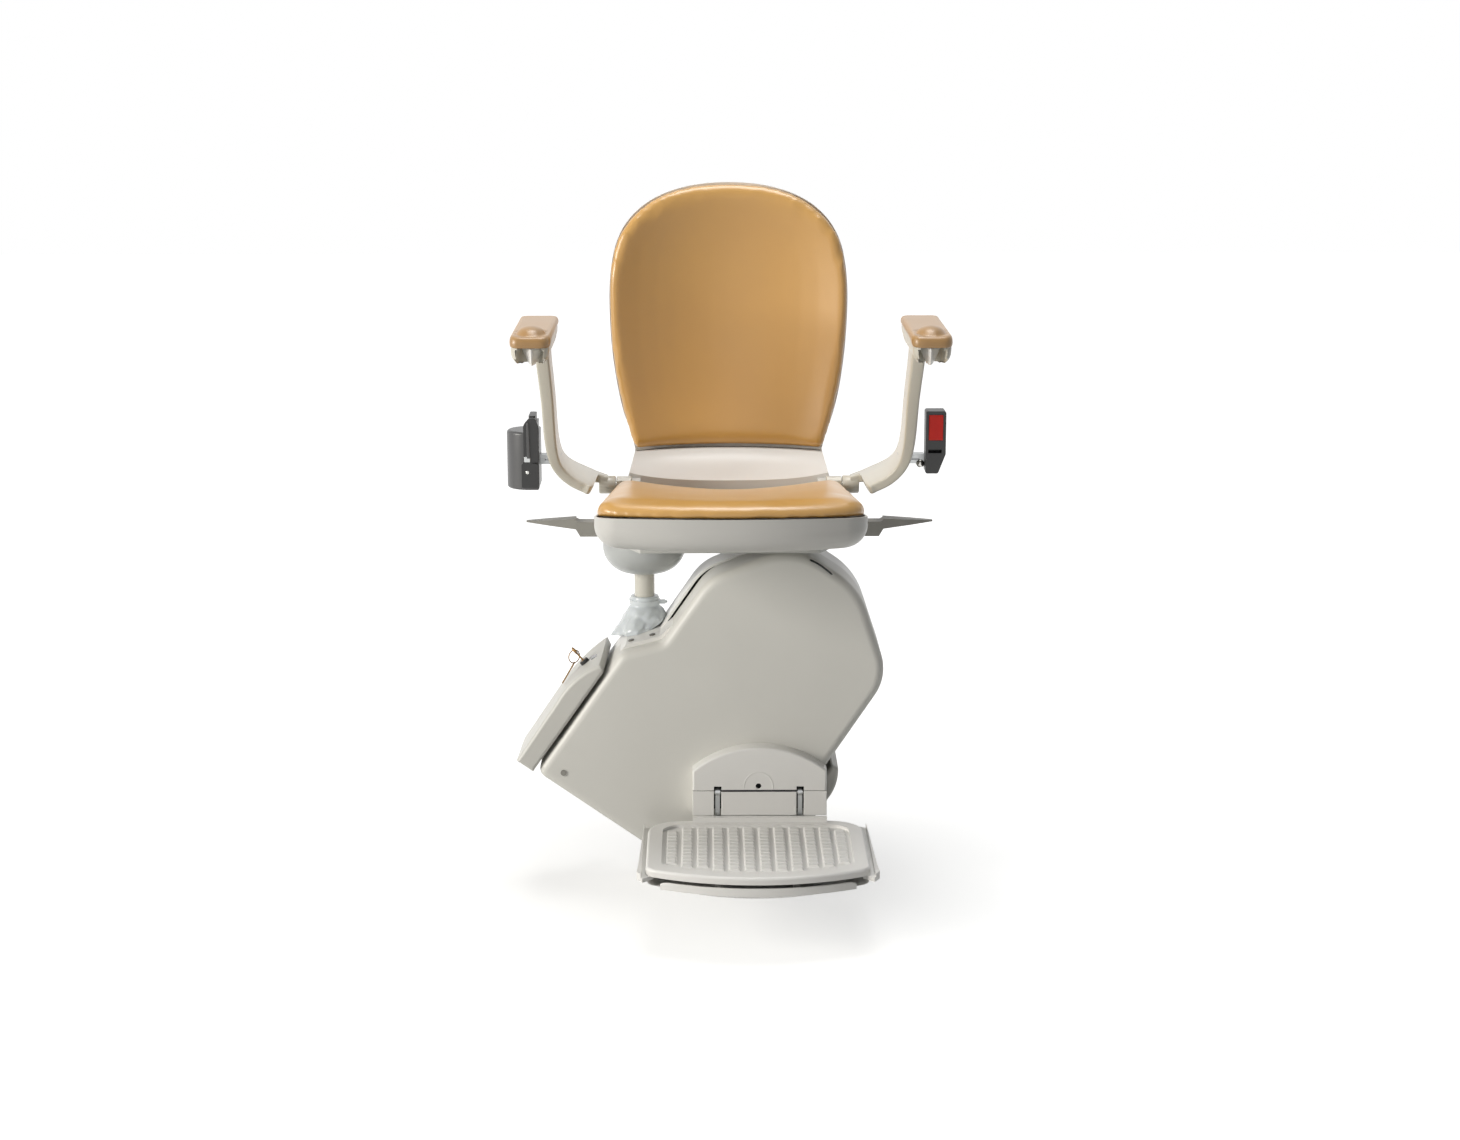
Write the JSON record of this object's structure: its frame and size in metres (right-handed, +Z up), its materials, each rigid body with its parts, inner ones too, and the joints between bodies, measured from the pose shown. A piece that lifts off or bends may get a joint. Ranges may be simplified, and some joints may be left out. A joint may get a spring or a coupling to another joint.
{
  "type": "stairlift chair",
  "caption": "Seat, arms, footrest and drive carriage of a stairlift, clasping a sloping rail; the seat and arms fold, the chair swivels, covers yield.",
  "frame": {"origin": "centre of the rail channel at the carriage's mid-length", "axes": "+X right as seen by someone who faces the chair (down the stairs), +Y to the wall behind the rail, +Z up"},
  "size_m": [0.586, 0.528, 0.9537],
  "materials": {
    "cover_white": "smooth moulded, soft gloss",
    "cool_white": "smooth, glossy",
    "boot_vinyl": "glossy wrinkled vinyl",
    "caramel_vinyl": "padded, matte vinyl",
    "black_plastic": "fine matte",
    "red_plastic": "glossy",
    "dark_steel": "dark paint",
    "grey_steel": "grey paint",
    "bright_steel": "brushed",
    "tread_rubber": "grey, moulded tiles",
    "nylon": "turned nylon",
    "board_green": "board",
    "battery_black": "moulded case",
    "key_brass": "worn",
    "window_grey": "smoked"
  },
  "bodies": {
    "carriage": {"front_cover": "cover_white", "rear_cover": "cover_white", "shoulder_plate": "cover_white", "chassis_plate": "dark_steel", "batteries": "battery_black", "gearbox": "grey_steel", "drive_motor": "dark_steel", "control_board": "board_green", "post_socket": "dark_steel", "seat_post": "bright_steel", "gaiter": "boot_vinyl", "gaiter_clamp": "boot_vinyl", "cover_screws": "bright_steel", "roller_axles": "bright_steel", "end_cover_guides": "dark_steel", "footrest_mount": "dark_steel", "footrest_hinge_pins": "bright_steel", "footrest_arch_cover": "cover_white", "footrest_apron": "cover_white"},
    "upper_end": {"upper_end_cover": "cover_white", "key_lock": "black_plastic", "status_window": "window_grey"},
    "key": {"key": "key_brass"},
    "spare_key": {"spare_key": "key_brass"},
    "lower_end": {"lower_end_cover": "cover_white"},
    "roller_upper_left": {"roller_upper_left": "nylon"},
    "roller_lower_left": {"roller_lower_left": "nylon"},
    "roller_upper_right": {"roller_upper_right": "nylon"},
    "roller_lower_right": {"roller_lower_right": "nylon"},
    "pinion": {"drive_pinion": "bright_steel"},
    "footrest": {"footrest_frame": "grey_steel", "footplate": "cover_white"},
    "footrest_pan": {"footrest_pan": "cover_white"},
    "flap_left": {"pan_flap_left": "cover_white"},
    "flap_right": {"pan_flap_right": "cover_white"},
    "chair": {"swivel_bearing": "bright_steel", "swivel_cover": "cool_white", "seat_frame": "grey_steel", "back_shell": "cover_white", "back_pad": "caramel_vinyl", "hinge_blocks": "grey_steel", "hinge_pins": "bright_steel"},
    "seat": {"seat_pan": "cover_white", "seat_pad": "caramel_vinyl"},
    "arm_left": {"arm_left": "cover_white", "armrest_housing_left": "cover_white", "armrest_pad_left": "caramel_vinyl", "reel_bracket": "bright_steel", "belt_reel": "black_plastic", "belt_tongue": "black_plastic"},
    "arm_right": {"arm_right": "cover_white", "armrest_housing_right": "cover_white", "armrest_pad_right": "caramel_vinyl", "buckle_bracket": "bright_steel", "buckle_body": "black_plastic"},
    "toggle_left": {"toggle_left": "cover_white"},
    "toggle_right": {"toggle_right": "cover_white"},
    "lever_left": {"lever_left": "cover_white"},
    "lever_right": {"lever_right": "cover_white"},
    "buckle_button": {"buckle_button": "red_plastic"}
  },
  "joints": [
    {"name": "upper_end_press", "type": "slide", "parent": "carriage", "child": "upper_end", "axis": [0.8192, 0, -0.5736], "range_m": [0, 0.003], "stiffness_N_per_m": 600, "springref_m": -0.006},
    {"name": "lower_end_press", "type": "slide", "parent": "carriage", "child": "lower_end", "axis": [-0.8192, 0, 0.5736], "range_m": [0, 0.003], "stiffness_N_per_m": 600, "springref_m": -0.006},
    {"name": "key_turn", "type": "hinge", "parent": "upper_end", "child": "key", "pos_m": [-0.13187, -0.105, 0.15826], "axis": [-0.6552, 0, 0.7554], "range_deg": [0, 90]},
    {"name": "spare_key_swing", "type": "hinge", "parent": "upper_end", "child": "spare_key", "pos_m": [-0.14629, -0.105, 0.17488], "axis": [0.7554, 0, 0.6552], "range_deg": [-5, 20]},
    {"name": "footrest_fold", "type": "hinge", "parent": "carriage", "child": "footrest", "pos_m": [0.106, -0.178, -0.006], "axis": [-1, 0, 0], "range_deg": [0, 88]},
    {"name": "footrest_pan_press", "type": "slide", "parent": "footrest", "child": "footrest_pan", "axis": [0, 0, 1], "range_m": [0, 0.005], "stiffness_N_per_m": 700, "springref_m": -0.008},
    {"name": "flap_left_press", "type": "slide", "parent": "footrest", "child": "flap_left", "axis": [1, 0, 0], "range_m": [0, 0.003], "stiffness_N_per_m": 400, "springref_m": -0.003},
    {"name": "flap_right_press", "type": "slide", "parent": "footrest", "child": "flap_right", "axis": [-1, 0, 0], "range_m": [0, 0.003], "stiffness_N_per_m": 400, "springref_m": -0.003},
    {"name": "pinion_spin", "type": "hinge", "parent": "carriage", "child": "pinion", "pos_m": [-0.04445, -0.01, -0.06348], "axis": [0, 1, 0], "continuous": true},
    {"name": "chair_swivel", "type": "hinge", "parent": "carriage", "child": "chair", "pos_m": [-0.05, -0.06, 0.3], "axis": [0, 0, 1], "range_deg": [-75, 0]},
    {"name": "seat_fold", "type": "hinge", "parent": "chair", "child": "seat", "pos_m": [0.067, -0.038, 0.393], "axis": [-1, 0, 0], "range_deg": [0, 82]},
    {"name": "arm_left_fold", "type": "hinge", "parent": "chair", "child": "arm_left", "pos_m": [-0.1005, -0.038, 0.393], "axis": [-1, 0, 0], "range_deg": [0, 60]},
    {"name": "arm_right_fold", "type": "hinge", "parent": "chair", "child": "arm_right", "pos_m": [0.2345, -0.038, 0.393], "axis": [-1, 0, 0], "range_deg": [0, 60]},
    {"name": "lever_left_press", "type": "hinge", "parent": "chair", "child": "lever_left", "pos_m": [-0.085, -0.11, 0.345], "axis": [0, -1, 0], "range_deg": [0, 12], "stiffness_Nm_per_rad": 0.6, "springref_deg": -17.19},
    {"name": "lever_right_press", "type": "hinge", "parent": "chair", "child": "lever_right", "pos_m": [0.219, -0.11, 0.345], "axis": [0, 1, 0], "range_deg": [0, 12], "stiffness_Nm_per_rad": 0.6, "springref_deg": -17.19},
    {"name": "toggle_left_turn", "type": "hinge", "parent": "arm_left", "child": "toggle_left", "pos_m": [-0.184, -0.304, 0.61], "axis": [0, 0, 1], "range_deg": [-15, 15], "stiffness_Nm_per_rad": 0.15},
    {"name": "toggle_right_turn", "type": "hinge", "parent": "arm_right", "child": "toggle_right", "pos_m": [0.318, -0.304, 0.61], "axis": [0, 0, 1], "range_deg": [-15, 15], "stiffness_Nm_per_rad": 0.15},
    {"name": "buckle_button_press", "type": "slide", "parent": "arm_right", "child": "buckle_button", "axis": [0, 1, 0], "range_m": [0, 0.004], "stiffness_N_per_m": 300, "springref_m": -0.002},
    {"name": "roller_upper_left_spin", "type": "hinge", "parent": "carriage", "child": "roller_upper_left", "pos_m": [-0.04537, -0.014, 0.12699], "axis": [0, 1, 0], "continuous": true},
    {"name": "roller_lower_left_spin", "type": "hinge", "parent": "carriage", "child": "roller_lower_left", "pos_m": [-0.13485, -0.014, -0.0008], "axis": [0, 1, 0], "continuous": true},
    {"name": "roller_upper_right_spin", "type": "hinge", "parent": "carriage", "child": "roller_upper_right", "pos_m": [0.13485, -0.014, 0.0008], "axis": [0, 1, 0], "continuous": true},
    {"name": "roller_lower_right_spin", "type": "hinge", "parent": "carriage", "child": "roller_lower_right", "pos_m": [0.04537, -0.014, -0.12699], "axis": [0, 1, 0], "continuous": true}
  ],
  "couplings": [
    {"joint": "roller_upper_left_spin", "follows": "pinion_spin", "ratio": -0.83333},
    {"joint": "roller_lower_left_spin", "follows": "pinion_spin", "ratio": 0.83333},
    {"joint": "roller_upper_right_spin", "follows": "pinion_spin", "ratio": -0.83333},
    {"joint": "roller_lower_right_spin", "follows": "pinion_spin", "ratio": 0.83333}
  ]
}
